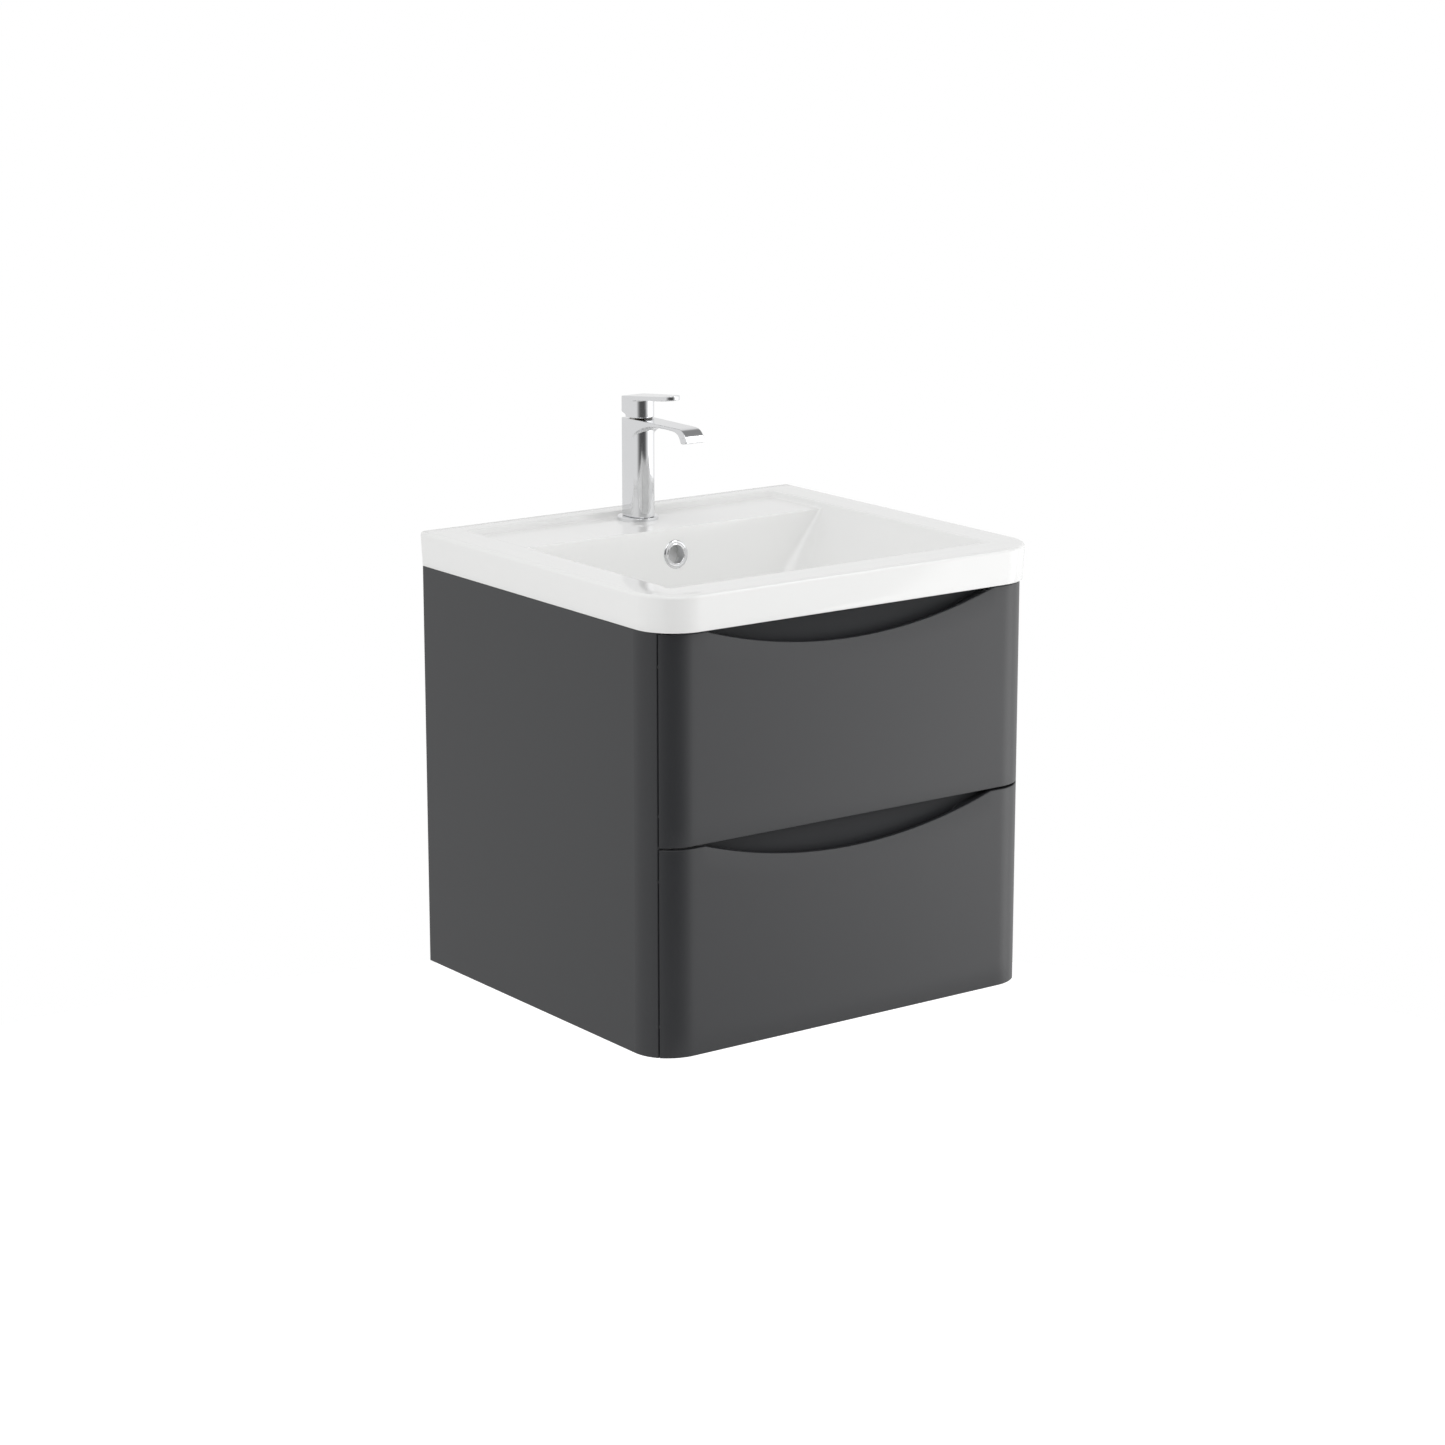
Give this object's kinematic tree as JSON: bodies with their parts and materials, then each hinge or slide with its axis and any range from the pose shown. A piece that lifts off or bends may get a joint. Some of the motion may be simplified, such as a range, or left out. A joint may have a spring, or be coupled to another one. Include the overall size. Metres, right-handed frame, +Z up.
{
  "type": "bathroom vanity cabinet",
  "caption": "Wall-hung vanity cabinet with rounded front corners, full-width drawers with crescent finger pulls, a ceramic basin on top and a single-lever mixer.",
  "frame": {"origin": "on the wall plane, in the middle of the width, level with the underside of the cabinet", "axes": "+Z up, +Y into the wall, the drawers open towards -Y, +X to the right as seen from the front"},
  "size_m": [0.6, 0.545, 0.7536],
  "materials": {
    "anthracite_lacquer": "satin lacquer on fibreboard",
    "grey_board": "matt melamine-faced board",
    "zinc_steel": "zinc plated",
    "white_glaze": "glossy white glaze",
    "polished_chrome": "polished chrome plate",
    "black_rubber": "matt",
    "brass": "turned brass",
    "grey_plastic": "moulded, fine matt",
    "white_plastic": "moulded"
  },
  "bodies": {
    "cabinet": {"side_panel_left": "anthracite_lacquer", "side_panel_right": "anthracite_lacquer", "bottom_panel": "anthracite_lacquer", "front_rail": "grey_board", "rear_top_rail": "grey_board", "rear_low_rail": "grey_board", "hanger_left": "zinc_steel", "hanger_right": "zinc_steel", "wall_plate_left": "zinc_steel", "wall_plate_right": "zinc_steel", "front_buffers": "black_rubber", "lower_cabinet_rail_left": "zinc_steel", "lower_cabinet_rail_right": "zinc_steel", "upper_cabinet_rail_left": "zinc_steel", "upper_cabinet_rail_right": "zinc_steel", "basin": "white_glaze", "overflow_ring": "polished_chrome", "waste_body": "polished_chrome", "waste_flange_seal": "black_rubber", "waste_nut": "brass", "waste_nut_seal": "black_rubber", "tap_body": "polished_chrome", "tap_base_ring": "polished_chrome", "tap_outlet_insert": "grey_plastic", "tap_cartridge": "white_plastic", "tap_cartridge_nut": "brass", "tap_stud": "zinc_steel", "tap_rubber_washer": "black_rubber", "tap_fixing_plate": "zinc_steel", "tap_fixing_nut": "brass"},
    "lower_drawer": {"lower_front": "anthracite_lacquer", "lower_side_left": "grey_board", "lower_side_right": "grey_board", "lower_inner_front": "grey_board", "lower_back": "grey_board", "lower_bottom": "grey_board", "lower_front_screws": "zinc_steel", "lower_drawer_rail_left": "zinc_steel", "lower_drawer_rail_right": "zinc_steel"},
    "upper_drawer": {"upper_front": "anthracite_lacquer", "upper_side_left": "grey_board", "upper_side_right": "grey_board", "upper_inner_front": "grey_board", "upper_back_left": "grey_board", "upper_back_right": "grey_board", "upper_bottom": "grey_board", "upper_bay_collar": "grey_plastic", "upper_front_screws": "zinc_steel", "upper_drawer_rail_left": "zinc_steel", "upper_drawer_rail_right": "zinc_steel"},
    "lower_middle_rails": {"lower_middle_rail_left": "zinc_steel", "lower_middle_rail_right": "zinc_steel"},
    "upper_middle_rails": {"upper_middle_rail_left": "zinc_steel", "upper_middle_rail_right": "zinc_steel"},
    "tap_turret": {"tap_turret": "brass"},
    "tap_lever": {"tap_handle": "polished_chrome", "tap_lever_pin": "zinc_steel"},
    "waste_plug": {"waste_plug": "polished_chrome"}
  },
  "joints": [
    {"name": "lower_drawer_slide", "type": "slide", "parent": "cabinet", "child": "lower_drawer", "axis": [0, -1, 0], "range_m": [0, 0.38]},
    {"name": "upper_drawer_slide", "type": "slide", "parent": "cabinet", "child": "upper_drawer", "axis": [0, -1, 0], "range_m": [0, 0.38]},
    {"name": "lower_middle_slide", "type": "slide", "parent": "cabinet", "child": "lower_middle_rails", "axis": [0, -1, 0], "range_m": [0, 0.19]},
    {"name": "upper_middle_slide", "type": "slide", "parent": "cabinet", "child": "upper_middle_rails", "axis": [0, -1, 0], "range_m": [0, 0.19]},
    {"name": "lever_turn", "type": "hinge", "parent": "cabinet", "child": "tap_turret", "pos_m": [0, -0.0732, 0.715], "axis": [0, 0, 1], "range_deg": [-45, 45]},
    {"name": "lever_lift", "type": "hinge", "parent": "tap_turret", "child": "tap_lever", "pos_m": [0, -0.0666, 0.7222], "axis": [-1, 0, 0], "range_deg": [0, 18]},
    {"name": "plug_lift", "type": "slide", "parent": "cabinet", "child": "waste_plug", "axis": [0, 0, 1], "range_m": [0, 0.008]}
  ],
  "couplings": [
    {"joint": "lower_middle_slide", "follows": "lower_drawer_slide", "ratio": 0.5},
    {"joint": "upper_middle_slide", "follows": "upper_drawer_slide", "ratio": 0.5}
  ]
}
